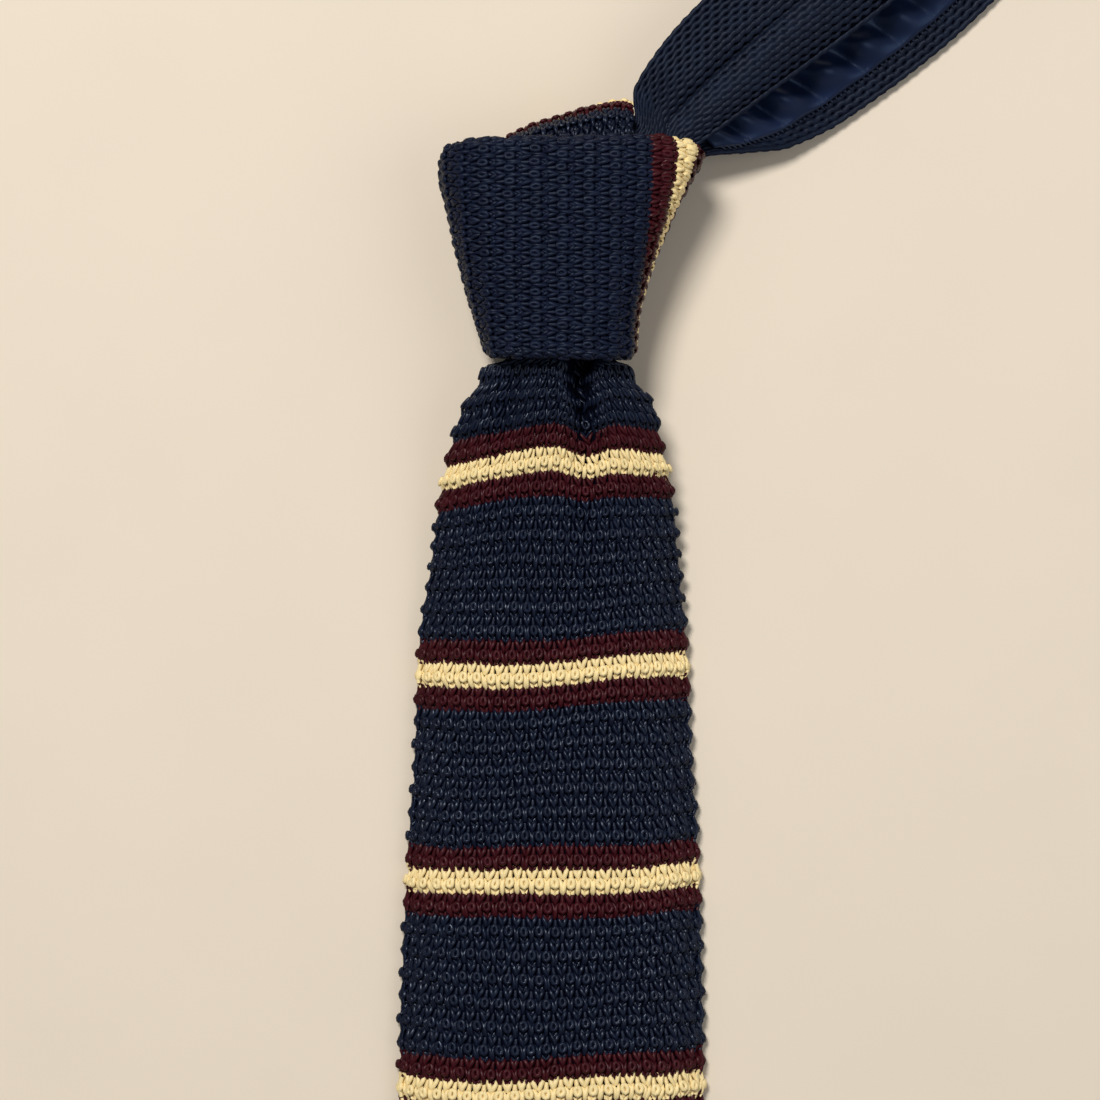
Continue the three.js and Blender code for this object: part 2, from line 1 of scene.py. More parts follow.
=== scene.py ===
"""The knit tie as it lies on a table: its stitches, the mesh of its neck loop and the loop's lining.

Lengths in the tables and functions are in millimetres, in the part's own frame. mesh_object turns them into
metres."""

import bpy
import numpy as np
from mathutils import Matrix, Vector


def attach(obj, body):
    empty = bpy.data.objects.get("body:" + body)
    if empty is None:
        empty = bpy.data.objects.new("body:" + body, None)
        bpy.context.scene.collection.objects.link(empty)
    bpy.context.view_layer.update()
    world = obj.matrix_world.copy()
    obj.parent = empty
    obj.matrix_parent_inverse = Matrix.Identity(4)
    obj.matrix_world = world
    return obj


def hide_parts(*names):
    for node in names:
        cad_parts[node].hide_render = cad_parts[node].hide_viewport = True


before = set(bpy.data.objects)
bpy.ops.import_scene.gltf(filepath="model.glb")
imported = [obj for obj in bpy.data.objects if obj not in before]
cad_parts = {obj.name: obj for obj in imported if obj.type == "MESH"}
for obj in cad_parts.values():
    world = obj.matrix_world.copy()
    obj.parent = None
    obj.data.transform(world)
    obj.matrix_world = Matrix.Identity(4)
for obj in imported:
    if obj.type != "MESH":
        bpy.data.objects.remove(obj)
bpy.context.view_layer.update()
rng = np.random.default_rng(7)

# the part's own sizes

KNIT_WALL = 2.0
LAYER_GAP = 0.6
RIB_PITCH = 4.5
CLEARANCE = 0.35

BLADE_WIDTH = 60.0
BLADE_LENGTH = 158.0
BLADE_DROOP = 5.6
FIRST_RIB = 2.2
DIMPLE_DEPTH = 5.8
DIMPLE_HALF_WIDTH = 1.8
DIMPLE_LOW_HALF_WIDTH = 4.4
DIMPLE_WIDENS = (8, 24)
DIMPLE_DRAG = 2.2
ROW_BOW = 1.3
ROW_BOW_GROWS = (25, 45)
ROW_WAVE = 0.5
ROW_WAVE_GROWS = (0, 20)
ROW_WAVE_ACROSS = 8
ROW_WAVE_DOWN = 11
EDGE_SCALLOP = 0.8
EDGE_SCALLOP_GROWS = (0, 15)
CREASE_DEPTH = 1.6
CREASE_HALF_WIDTH = 3.2
CREASE_START = -0.3
CREASE_RUN = 0.1

KNOT_HEIGHT = 44.0
KNOT_TOP_HALF_WIDTH = 25.0
KNOT_DEPTH = 26.0
WRAP_THICKNESS = 3.5
WRAP_RIBS = 24
WRAP_RIB_PITCH = 5.0
RIB_LINE_X = -2.1
WRAP_SINK = 1.4
FACE_SQUARENESS = 3.5
BACK_SQUARENESS = 4.0

MOUTH_WIDTH = 21.4
MOUTH_THICKNESS = 10.4
PASS_WIDTH = 26.6
PASS_X = 1.0
PASS_CROWN = 1.7
PASS_THICKNESS = 5.2
TURN_RADIUS = 6.1
TURN_SLANT = 0.31
TURN_TOP = 25.3
TURN_BACK_LENGTH = 11.0

TAIL_WIDTH = 41.0
TAIL_LENGTH = 162.0
TAIL_START = 1.0
TAIL_THICKNESS = 4.2

NECK_WIDTH = 28.0
NECK_THICKNESS = 1.8
ARM_LENGTH = 215.0
ARM_START = (3.0, 3.0)
LOOP_HEIGHT = 18.4
LINING_WIDTH = 16.0
LINING_THICKNESS = 0.6
LINING_START = 0.14
LINING_GAP = 0.7
GROOVE_DEPTH = 1.3
GROOVE_HALF_WIDTH = 3.6
GROOVE_PLACE = 0.12
FOLD_HALF_WIDTH = 1.0

FLAT_ROUNDNESS = 6
PUFFED_ROUNDNESS = 2.5
PASS_ROUNDNESS = 4
TAIL_ROUNDNESS = 4

MOUTH_Y = -KNOT_HEIGHT / 2
FLAT_THICKNESS = 2 * KNIT_WALL + LAYER_GAP
REST_HEIGHT = TAIL_THICKNESS + CLEARANCE + FLAT_THICKNESS / 2
TURN_BACK_HEIGHT = WRAP_THICKNESS + CLEARANCE + PASS_THICKNESS / 2
TURN_FRONT_HEIGHT = TURN_BACK_HEIGHT + 2 * TURN_RADIUS
TURN_Y = TURN_TOP - TURN_RADIUS - PASS_THICKNESS / 2
TAIL_PASS_HEIGHT = WRAP_THICKNESS + CLEARANCE + TAIL_THICKNESS / 2
MOUTH_HEIGHT = TAIL_PASS_HEIGHT + (TAIL_THICKNESS + MOUTH_THICKNESS) / 2 + CLEARANCE

BLADE = """along width middle lift puff dimple fold crease arc skew
0       0.357   0      1     1     1     0.062  0.5   0      0
0.003   0.43   -0.004  1     1     1     0.062  0.5   0      0
0.0085  0.488  -0.01   0.99  1     1     0.065  0.7   0.001  0
0.022   0.515  -0.01   0.96  1     1     0.07   0.8   0.01   0.02
0.05    0.633  -0.01   0.87  0.86  0.95  0.088  1     0.022  0.04
0.097   0.708  -0.016  0.66  0.6   0.76  0.1    0.7   0.034  0.055
0.17    0.783  -0.016  0.42  0.3   0.4   0.096  0.25  0.028  0.062
0.243   0.818  -0.018  0.24  0.13  0.18  0.09   0.05  0.014  0.066
0.353   0.882  -0.025  0.09  0.03  0.05  0.09   0     0.004  0.064
0.475   0.907  -0.024  0.02  0     0     0.09   0     0      0.054
0.608   0.955  -0.024  0     0     0     0.09   0     0      0.042
0.851   1      -0.029  0     0     0     0.09   0     0      0.033
1       1.01   -0.03   0     0     0     0.09   0     0      0.03"""

PASS = """up width slim rise
0.0   0.0  0.0   0.0
0.22  0.28 0.45  0.5
0.48  0.72 1.0   1.0
0.74  1.0  1.0   1.0
1.0   1.0  1.0   1.0"""

KNOT = """rise left right depth
0.0   0.588  0.588  0.92
0.15  0.65   0.602  0.94
0.3   0.728  0.66   0.96
0.48  0.812  0.768  0.98
0.66  0.88   0.908  1.0
0.8   0.93   1.04   1.0
0.88  0.928  1.12   0.985
1.0   0.87   1.16   0.95"""

RIM = """turn top foot
0.0   0.875   0.01
0.07  0.93   -0.015
0.13  0.955  -0.02
0.25  0.95   -0.015
0.38  0.942  -0.01
0.44  0.93    0.0
0.5   0.865   0.015
0.62  0.79    0.045
0.75  0.77    0.05
0.9   0.79    0.04
1.0   0.875   0.01"""

TAIL = """along width lift slim
0.0    0.42  1.0   1.0
0.12   0.44  1.0   1.0
0.155  0.46  0.96  1.0
0.2    0.6   0.45  0.8
0.25   0.7   0.06  0.5
0.3    0.76  0.0   0.3
0.5    0.87  0.0   0.0
0.8    0.98  0.0   0.0
1.0    1.0   0.0   0.0"""

ARM = """along heading upper_width upper_height upper_shift lower_width lower_height lower_shift crown groove
0.0    52  0.36  0.69  0.07  0.34  0.54  0.02  0.0    0.0
0.104  50  0.42  0.69  0.07  0.42  0.54  0.05  0.01   0.0
0.13   49  0.6   0.73  0.0   0.56  0.44  0.12  0.04   0.6
0.16   46  0.7   0.79  0.0   0.72  0.3   0.22  0.08   1.0
0.2    42  0.78  0.8   0.0   0.86  0.14  0.33  0.1    1.0
0.26   39  0.84  0.77  0.0   0.93  0.02  0.39  0.11   0.6
0.36   40  0.9   0.72  0.0   0.95  0.0   0.42  0.1    0.15
0.52   46  0.95  0.68  0.0   0.97  0.0   0.34  0.08   0.0
0.7    53  0.98  0.72  0.0   0.99  0.0   0.2   0.05   0.0
0.88   58  1.0   0.9   0.0   1.0   0.0   0.07  0.015  0.0
1.0    60  1.0   1.0   0.0   1.0   0.0   0.0   0.0    0.0"""


def curve(x, y):
    """A smooth function through y against x with no overshoot between them."""
    rise = np.diff(y) / np.diff(x)
    before, after = rise[:-1], rise[1:]
    same_way = before * after > 0
    slope = np.zeros(len(x))
    slope[1:-1][same_way] = 2 * before[same_way] * after[same_way] / (before + after)[same_way]

    def at(place):
        p = np.clip(place, x[0], x[-1])
        i = np.clip(np.searchsorted(x, p, side="right") - 1, 0, len(x) - 2)
        step = x[i + 1] - x[i]
        t = (p - x[i]) / step
        ends = y[i] * (1 + 2 * t) * (1 - t) ** 2 + y[i + 1] * t * t * (3 - 2 * t)
        return ends + step * (slope[i] * t * (1 - t) ** 2 - slope[i + 1] * t * t * (1 - t))

    return at


class Curves:
    """A table's columns as smooth functions of its first column."""

    def __init__(self, table):
        names, *rows = table.splitlines()
        names = names.split()
        columns = np.array([row.split() for row in rows], float).T
        for name, column in zip(names[1:], columns[1:]):
            setattr(self, name, curve(columns[0], column))


blade, passage, knot, rim, tail, arm = (Curves(t) for t in (BLADE, PASS, KNOT, RIM, TAIL, ARM))

X, Y, Z = np.eye(3)


def lerp(a, b, t):
    return a + (b - a) * t


def bell(distance, half_width):
    return np.exp(-((distance / half_width) ** 2))


def eased(value, start, end):
    """0 up to the start, 1 from the end on, and a smooth rise between them."""
    t = np.clip((value - start) / (end - start), 0, 1)
    return t * t * (3 - 2 * t)


# the cloth's surfaces

SECTION_STEPS = 160
# A place this far short of a grid's length still has a point after it.
SHORT_OF_LAST = 1.001


class Place:
    """One section through a flattened tube or band of cloth."""

    def __init__(self, centre, width, thickness, roundness, bend, along):
        self.centre = np.array(centre, float)
        self.width = width
        self.thickness = thickness
        self.roundness = roundness
        self.bend = bend
        self.along = along
        self.out = Z

    def ring(self, count, inset=0.0):
        """count points at equal steps round the section, from its left edge over the face."""
        face = np.sin(np.pi * (np.linspace(0, 1, SECTION_STEPS + 1) - 0.5))
        across = np.concatenate([face, face[-2:0:-1]])
        side = np.concatenate([np.ones(SECTION_STEPS + 1), -np.ones(SECTION_STEPS - 1)])
        distance = (self.width / 2 - inset) * across
        edge = np.sqrt(np.clip(1 - np.abs(across) ** self.roundness, 0, None))
        out = side * edge * (self.thickness / 2 - inset) + self.bend(across, distance, side)
        points = self.centre + np.outer(distance, X) + np.outer(out, self.out)
        points = points + np.outer(self.along(across, distance), Y)
        points[:, 2] = np.maximum(points[:, 2], inset)
        return even(points, count)


def even(points, count):
    """count points at equal steps round a closed outline."""
    closed = np.vstack([points, points[:1]])
    length = np.concatenate([[0], np.cumsum(np.linalg.norm(np.diff(closed, axis=0), axis=1))])
    goal = np.linspace(0, length[-1], count, endpoint=False)
    return np.stack([np.interp(goal, length, closed[:, i]) for i in range(3)], 1)


def blade_place(distance):
    """The front blade's section at a distance below the knot's mouth."""
    share = distance / BLADE_LENGTH
    puff = blade.puff(share)
    scallop = EDGE_SCALLOP * np.cos(2 * np.pi * (distance - FIRST_RIB) / RIB_PITCH)
    width = blade.width(share) * BLADE_WIDTH + scallop * eased(distance, *EDGE_SCALLOP_GROWS)
    crease_x = CREASE_START * width + CREASE_RUN * distance
    dimple_x = blade.fold(share) * BLADE_WIDTH
    dimple_half = lerp(DIMPLE_HALF_WIDTH, DIMPLE_LOW_HALF_WIDTH, eased(distance, *DIMPLE_WIDENS))
    dimple_depth = DIMPLE_DEPTH * np.sqrt(DIMPLE_HALF_WIDTH / dimple_half)

    def bend(across, x, side):
        face = dimple_depth * blade.dimple(share) * bell(x - dimple_x, dimple_half)
        face = face + CREASE_DEPTH * blade.crease(share) * bell(x - crease_x, CREASE_HALF_WIDTH)
        return -BLADE_DROOP * (1 - puff) * across**4 - np.where(side > 0, face, 0)

    def along(across, x):
        drag = DIMPLE_DRAG * blade.dimple(share) * bell(x - dimple_x, 2 * DIMPLE_HALF_WIDTH)
        bow = ROW_BOW * eased(distance, *ROW_BOW_GROWS) * np.minimum(across, 0) ** 2
        wave = ROW_WAVE * eased(distance, *ROW_WAVE_GROWS) * (1 - across**2)
        wave = wave * np.sin(x / ROW_WAVE_ACROSS + distance / ROW_WAVE_DOWN)
        return blade.skew(share) * x - blade.arc(share) * BLADE_WIDTH * across**2 - drag + bow + wave

    height = lerp(REST_HEIGHT, MOUTH_HEIGHT, blade.lift(share))
    return Place(
        (blade.middle(share) * BLADE_WIDTH, MOUTH_Y - distance, height),
        width,
        lerp(FLAT_THICKNESS, MOUTH_THICKNESS, puff),
        lerp(FLAT_ROUNDNESS, PUFFED_ROUNDNESS, min(1, 1.5 * puff)),
        bend,
        along,
    )


def pass_place(up):
    """Its section inside the knot, at a share of the way from the mouth up to the turn."""
    slim = passage.slim(up)
    spread = passage.width(up)
    slant = TURN_SLANT * eased(up, 0.5, 1)
    dimple_x = blade.fold(0) * BLADE_WIDTH
    height = lerp(MOUTH_HEIGHT, TURN_FRONT_HEIGHT, passage.rise(up))

    def bend(across, x, side):
        face = DIMPLE_DEPTH * (1 - slim) * bell(x - dimple_x, DIMPLE_HALF_WIDTH)
        return -PASS_CROWN * slim * across**2 - np.where(side > 0, face, 0)

    return Place(
        (PASS_X * spread, lerp(MOUTH_Y, TURN_Y, up), height),
        lerp(MOUTH_WIDTH, PASS_WIDTH, spread),
        lerp(MOUTH_THICKNESS, PASS_THICKNESS, slim),
        lerp(PUFFED_ROUNDNESS, PASS_ROUNDNESS, slim),
        bend,
        lambda across, x: slant * x,
    )


def turn_place(degrees):
    """Its section in the turn over the knot's top, at an angle from the face to the back."""
    angle = np.radians(degrees)
    place = pass_place(1.0)
    place.out = np.array([0, np.sin(angle), np.cos(angle)])
    place.centre = np.array([PASS_X, TURN_Y, TURN_BACK_HEIGHT + TURN_RADIUS]) + TURN_RADIUS * place.out
    place.bend = lambda across, x, side: -PASS_CROWN * max(0, np.cos(angle)) * across**2
    return place


def tail_place(distance):
    """The tail's section at a distance from its start in the knot."""
    share = distance / TAIL_LENGTH
    lift = tail.lift(share)
    return Place(
        (0, TAIL_START - distance, lerp(TAIL_THICKNESS / 2, TAIL_PASS_HEIGHT, lift)),
        tail.width(share) * TAIL_WIDTH,
        TAIL_THICKNESS,
        lerp(TAIL_ROUNDNESS, PUFFED_ROUNDNESS, tail.slim(share)),
        lambda across, x, side: 0 * x,
        lambda across, x: 0 * x,
    )


class Surface:
    """A closed grid of points on the outer side of a tube of cloth. Its row values run along the tube,
    and its columns once round it, from 0 to 1."""

    def __init__(self, rows, grid, middle=None):
        self.rows = np.array(rows, float)
        self.grid = grid
        along = np.gradient(grid, axis=0)
        across = np.roll(grid, -1, 1) - np.roll(grid, 1, 1)
        normal = np.cross(across, along)
        normal /= np.linalg.norm(normal, axis=2, keepdims=True) + 1e-9
        out = grid - (grid.mean(1, keepdims=True) if middle is None else middle)
        half = len(grid) // 2
        self.normal = normal if (out * normal)[half].sum() > 0 else -normal

    def at(self, row, column, height):
        """Points at a height off the surface, and its normals there."""
        r = np.interp(row, self.rows, np.arange(len(self.rows)))
        r = np.clip(r, 0, len(self.rows) - SHORT_OF_LAST)
        count = self.grid.shape[1]
        c = (column % 1.0) * count
        i, j = r.astype(int), c.astype(int)
        fr, fc = (r - i)[..., None], (c - j)[..., None]
        j, k = j % count, (j + 1) % count

        def mix(g):
            return lerp(lerp(g[i, j], g[i, k], fc), lerp(g[i + 1, j], g[i + 1, k], fc), fr)

        normal = mix(self.normal)
        normal /= np.linalg.norm(normal, axis=-1, keepdims=True) + 1e-9
        return mix(self.grid) + normal * np.asarray(height)[..., None], normal


# meshes

# Each length of yarn has its fibres from another place, up to this many millimetres on.
FIBRE_SHIFT = 90


def mesh_object(name, points, faces, material, uv=None):
    """A smooth mesh from points in millimetres and an array of quads or triangles."""
    mesh = bpy.data.meshes.new(name)
    points = np.ascontiguousarray(points, np.float32) * 0.001
    faces = np.ascontiguousarray(faces, np.int32)
    sides = faces.shape[1]
    mesh.vertices.add(len(points))
    mesh.vertices.foreach_set("co", points.ravel())
    mesh.loops.add(faces.size)
    mesh.loops.foreach_set("vertex_index", faces.ravel())
    mesh.polygons.add(len(faces))
    mesh.polygons.foreach_set("loop_start", np.arange(0, faces.size, sides, dtype=np.int32))
    mesh.polygons.foreach_set("use_smooth", np.full(len(faces), True))
    if uv is not None:
        layer = mesh.uv_layers.new(name="yarn")
        layer.data.foreach_set("uv", np.ascontiguousarray(uv[faces.ravel()], np.float32).ravel())
    mesh.update(calc_edges=True)
    mesh.validate()
    obj = bpy.data.objects.new(name, mesh)
    bpy.context.scene.collection.objects.link(obj)
    mesh.materials.append(material)
    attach(obj, "root")
    return obj


class Yarn:
    """Gathers lengths of yarn, to make one mesh of them."""

    def __init__(self):
        self.points = []
        self.faces = []
        self.uv = []
        self.count = 0

    def add(self, line, normal, radius, sides, flat=1.0, twist=0.0):
        """line is (lengths, points, 3), with the cloth's normal and the yarn's radius at each point. flat is
        the share of its height that is left, and a twist of half a side turns a flat side up."""
        many, long = line.shape[:2]
        run = np.gradient(line, axis=1)
        run /= np.linalg.norm(run, axis=2, keepdims=True) + 1e-9
        side = np.cross(run, normal)
        side /= np.linalg.norm(side, axis=2, keepdims=True) + 1e-9
        up = np.cross(side, run)
        radius = np.broadcast_to(radius, (many, long))[..., None, None]
        angle = 2 * np.pi * (np.arange(sides) + twist) / sides
        ring = np.cos(angle)[:, None] * up[:, :, None] * flat + np.sin(angle)[:, None] * side[:, :, None]
        points = line[:, :, None] + radius * ring
        index = self.count + np.arange(many * long * sides).reshape(many, long, sides)
        a, b = index[:, :-1], index[:, 1:]
        faces = np.stack([a, b, np.roll(b, -1, 2), np.roll(a, -1, 2)], -1)
        step = np.linalg.norm(np.diff(line, axis=1), axis=2)
        length = np.concatenate([np.zeros((many, 1)), np.cumsum(step, 1)], 1)
        length = length + rng.uniform(0, FIBRE_SHIFT, (many, 1))
        v = np.abs(2 * np.arange(sides) / sides - 1)
        uv = np.stack(np.broadcast_arrays(length[..., None], v), -1)
        self.points.append(points.reshape(-1, 3))
        self.faces.append(faces.reshape(-1, 4))
        self.uv.append(uv.reshape(-1, 2))
        self.count += many * long * sides

    def build(self, name, material):
        points, faces, uv = (np.concatenate(part) for part in (self.points, self.faces, self.uv))
        return mesh_object(name, points, faces, material, uv)


def shell(name, rings, material, caps=True):
    """A closed mesh through rings of points."""
    grid = np.array(rings)
    rows, count = grid.shape[:2]
    index = np.arange(rows * count).reshape(rows, count)
    a, b = index[:-1], index[1:]
    faces = np.stack([a, b, np.roll(b, -1, 1), np.roll(a, -1, 1)], -1).reshape(-1, 4)
    points = grid.reshape(-1, 3)
    triangles = [faces[:, [0, 1, 2]], faces[:, [0, 2, 3]]]
    if caps:
        middles = np.array([grid[0].mean(0), grid[-1].mean(0)])
        first, last = len(points), len(points) + 1
        points = np.vstack([points, middles])
        start, end = index[0], index[-1]
        triangles.append(np.stack([start, np.roll(start, -1), np.full(count, first)], 1))
        triangles.append(np.stack([np.roll(end, -1), end, np.full(count, last)], 1))
    faces = np.concatenate(triangles)
    corners = [points[faces[:, i]] for i in range(3)]
    volume = np.einsum("ij,ij->i", corners[0], np.cross(corners[1], corners[2])).sum()
    return mesh_object(name, points, faces if volume > 0 else faces[:, ::-1], material)


# the stitch

# One stitch of the ribbed knit, as lengths of yarn. x runs across it in stitch widths and y up it, towards
# its tips. h is the height in millimetres from the cloth's outer side, and r the share of the yarn's radius.
# RIDGE is the ribs' pitch in stitch widths.
RIDGE = 1.54
YARN = 0.138
STITCH_LIFT = 0.22
FINE_SIDES = 5
COARSE_SIDES = 4

# How much one stitch differs from the next: in its lean, its place across, up and off the cloth, the
# thickness of its yarn, and the place of each of its points.
LEANS = 0.05
SHIFTS = (0.03, 0.035, 0.06)
THICKENS = 0.04
JITTERS = 0.012

TIP = [
    (0.48, 0.26, -1.1, 0.8),
    (0.42, 0.5, -0.84, 1.15),
    (0.32, 0.74, -0.95, 1.2),
    (0.22, 0.98, -1.25, 1.0),
    (0.17, 1.14, -1.75, 0.15),
]
LEG = [
    (0.28, 0.34, -1.2, 0.4),
    (0.41, 0.04, -0.9, 1.1),
    (0.46, -0.22, -0.82, 1.2),
    (0.47, -0.54, -1.0, 1.1),
    (0.49, -0.82, -1.55, 0.15),
]
RING = [
    (0.19 * np.sin(a), 0.03 + 0.28 * np.cos(a), -0.62 - 0.08 * np.cos(a), 1.15)
    for a in np.linspace(0, 2 * np.pi, 9)
]
HALF_CUP = [(-0.27, -0.36, -1.15, 0.15), (-0.14, -0.58, -0.95, 1.1), (0, -0.84, -1.4, 0.7)]
CUP = HALF_CUP + [(-x, y, h, r) for x, y, h, r in HALF_CUP[-2::-1]]
CORE = [(0, -0.5, -1.4, 1.2), (0, 0.1, -1.2, 1.3), (0, 0.8, -1.5, 1.2)]
STRANDS = [[(side * x, y, h, r) for x, y, h, r in half] for half in (TIP, LEG) for side in (-1, 1)]
STRANDS += [RING, CUP, CORE]


def stitches(yarn, surface, rows, columns, place, width, fine=True, relief=1.0):
    """Adds a stitch at each (row, column). place turns these and x and y into the surface's own."""
    row, column = (np.asarray(a, float).ravel()[:, None] for a in (rows, columns))
    cells = len(row)
    if not cells:
        return
    lean = rng.normal(0, LEANS, (cells, 1))
    shift_x, shift_y, lift = (rng.normal(0, spread, (cells, 1)) for spread in SHIFTS)
    thick = rng.normal(1, THICKENS, (cells, 1))
    for points in STRANDS if fine else STRANDS[:-1]:
        x, y, h, r = np.array(points if fine else points[::2]).T
        x = x + shift_x + lean * y + rng.normal(0, JITTERS, (cells, len(x)))
        y = y + shift_y + rng.normal(0, JITTERS, (cells, len(h)))
        at_row, at_column = place(row, column, x, y)
        line, normal = surface.at(at_row, at_column, h * relief + lift + STITCH_LIFT * relief)
        yarn.add(line, normal, YARN * width * r * thick, FINE_SIDES if fine else COARSE_SIDES)


# materials

TONE_RANGE = (0.32, 0.68)
GLOSS_SPREAD = 0.07
WEAVE_SCALE = 1400
# The fibres' noise, along the yarn in its millimetres and round it.
FIBRE_SCALE = (0.45, 4.5, 1)
FIBRE_HEIGHT = 0.00012


def ramp(nodes, links, source, colour, spread):
    """The colour, lighter and darker by a spread as the source goes from low to high."""
    tone = nodes.new("ShaderNodeValToRGB")
    low, high = tone.color_ramp.elements
    low.position, high.position = TONE_RANGE
    low.color = (*(c * (1 - spread) for c in colour), 1)
    high.color = (*(min(1, c * (1 + spread)) for c in colour), 1)
    links.new(source, tone.inputs["Fac"])
    return tone.outputs["Color"]


def cloth(name, colour, roughness, specular, spread=0.2, grain=350, filament=0.0, relief=0.0, tint=(1, 1, 1)):
    """Principled cloth. Its colour and gloss vary over patches of 1 / grain metres. filament is the relief
    of the fibres along a yarn, and relief that of a weave."""
    material = bpy.data.materials.new(name)
    material.use_nodes = True
    nodes, links = material.node_tree.nodes, material.node_tree.links
    shader = nodes["Principled BSDF"]
    shader.inputs["Specular IOR Level"].default_value = specular
    shader.inputs["Specular Tint"].default_value = (*tint, 1)
    place = nodes.new("ShaderNodeTexCoord")
    patches = nodes.new("ShaderNodeTexNoise")
    patches.inputs["Scale"].default_value = grain
    patches.inputs["Detail"].default_value = 3
    links.new(place.outputs["Object"], patches.inputs["Vector"])
    links.new(ramp(nodes, links, patches.outputs["Fac"], colour, spread), shader.inputs["Base Color"])
    gloss = nodes.new("ShaderNodeMapRange")
    gloss.inputs["To Min"].default_value = roughness - GLOSS_SPREAD
    gloss.inputs["To Max"].default_value = roughness + GLOSS_SPREAD
    links.new(patches.outputs["Fac"], gloss.inputs["Value"])
    links.new(gloss.outputs["Result"], shader.inputs["Roughness"])
    if filament or relief:
        fibres = nodes.new("ShaderNodeTexNoise")
        fibres.inputs["Detail"].default_value = 2
        if filament:
            uv = nodes.new("ShaderNodeUVMap")
            uv.uv_map = "yarn"
            stretch = nodes.new("ShaderNodeMapping")
            stretch.inputs["Scale"].default_value = FIBRE_SCALE
            fibres.inputs["Scale"].default_value = 1
            links.new(uv.outputs["UV"], stretch.inputs["Vector"])
            links.new(stretch.outputs["Vector"], fibres.inputs["Vector"])
        else:
            fibres.inputs["Scale"].default_value = WEAVE_SCALE
            links.new(place.outputs["Object"], fibres.inputs["Vector"])
        bump = nodes.new("ShaderNodeBump")
        bump.inputs["Strength"].default_value = filament or relief
        bump.inputs["Distance"].default_value = FIBRE_HEIGHT
        links.new(fibres.outputs["Fac"], bump.inputs["Height"])
        links.new(bump.outputs["Normal"], shader.inputs["Normal"])
    return material


BLUE = (0.72, 0.84, 1)
navy = cloth("navy_yarn", (0.0045, 0.007, 0.02), 0.32, 0.34, filament=0.8, tint=BLUE)
# A copy of the navy yarn for the knot. Its lighter colour is painted light for the knot's more even lighting,
# and its gloss is rougher and weaker.
knot_navy_painted_light = cloth("navy_yarn_knot_painted_light", (0.0055, 0.0083, 0.0235), 0.46, 0.19, filament=0.8, tint=BLUE)
burgundy = cloth("burgundy_yarn", (0.041, 0.004, 0.0072), 0.38, 0.22, filament=0.8, tint=(1, 0.8, 0.8))
cream = cloth("cream_yarn", (0.94, 0.75, 0.38), 0.42, 0.4, spread=0.06, filament=0.8)
# The knit's inner layer, seen through its holes. Its near-black colour, darker than any yarn, is painted
# shade.
ground_shade = cloth("knit_ground_shade", (0.001, 0.0018, 0.007), 0.9, 0.05, relief=0.3)
mesh_yarn = cloth("mesh_yarn", (0.0052, 0.008, 0.02), 0.5, 0.17, grain=250, filament=0.5, tint=BLUE)
# The band's inner layer, seen through the mesh's slits. Its near-black colour, far darker than the mesh yarn,
# is painted shade.
mesh_ground_shade = cloth("mesh_ground_shade", (0.0007, 0.0011, 0.0035), 0.9, 0.03, relief=0.3)
satin = cloth("satin", (0.0075, 0.0145, 0.046), 0.34, 0.38, grain=90, relief=0.12, tint=(0.5, 0.68, 1))
thread = cloth("thread", (0.028, 0.04, 0.08), 0.42, 0.3, filament=0.5, tint=BLUE)
YARNS = {"navy": navy, "burgundy": burgundy, "cream": cream}

# the front blade and its turn over the knot

BLADE_STITCHES = 42
BLADE_RIBS = range(-1, 35)
LOWER_FROM_RIB = 18
BLADE_RELIEF = 1.2
STITCH_WIDTHS = (1.75, 3.1)
FACE_BEGINS = -0.05
FACE_SHARE = 0.61
FIRST_CREAM_RIB = 4
STRIPE_RIBS = 9

TURN_STITCHES = 24
TURN_STITCH_WIDTH = 2.55
TURN_RIB_ANGLE = 30
TURN_RIBS = range(-13, 198, TURN_RIB_ANGLE)
TURN_ROW_SLANT = 26
TURN_ROW_REACH = (-0.1, 1.1)
TURN_STRIPE = {77: "burgundy", 107: "cream", 137: "burgundy"}

PASS_LENGTH = TURN_Y - MOUTH_Y
BLADE_ROW_STEP = 0.75
TURN_ROW_STEP = 3.0

# How far into the knot the blade's stitches and the turn's go on, in millimetres and in degrees.
BLADE_GOES_IN = 6
TURN_GOES_IN = 45

# The surfaces have this many points for each stitch round them.
STITCH_POINTS = 8
LARGE_STITCH_POINTS = 13

GROUND_INSET = 1.6
GROUND_COUNT = 96
GROUND_STEP = 1.5
GROUND_TURN_STEP = 15
GROUND_PASS_RISES = (0.85, 0.7, 0.5, 0.35, 0.22, 0.12, 0.05)
HEM_SHORT = 0.8
HEM_INSET = 0.2

yarns = {}


def yarn_for(key):
    return yarns.setdefault(key, Yarn())


def on_face(share):
    """Which places round a tube are on its face or its edges, as a mask. The face is its first half."""
    return (share - FACE_BEGINS) % 1 < FACE_SHARE


def blade_or_pass(distance):
    return blade_place(distance) if distance >= 0 else pass_place(-distance / PASS_LENGTH)


def turn_or_pass(degrees):
    if degrees >= 0:
        return turn_place(min(degrees, 180))
    return pass_place(1 + degrees / TURN_RIB_ANGLE * RIB_PITCH / PASS_LENGTH)


def blade_cell(row, column, x, y):
    return row - y * RIB_PITCH / RIDGE, (column + x) / BLADE_STITCHES


def turn_cell(row, column, x, y):
    """The rows slant over the turn, so they lie further round it at the left."""
    across = np.clip(column / (TURN_STITCHES / 2), *TURN_ROW_REACH)
    angle = row - TURN_ROW_SLANT * (across - 0.5) + y * TURN_RIB_ANGLE / RIDGE
    return angle, (column + x) / TURN_STITCHES


def stripe(rib):
    """The yarn of a rib, counted from the knot's mouth."""
    from_cream = (rib - FIRST_CREAM_RIB) % STRIPE_RIBS
    return {0: "cream", 1: "burgundy", STRIPE_RIBS - 1: "burgundy"}.get(from_cream, "navy")


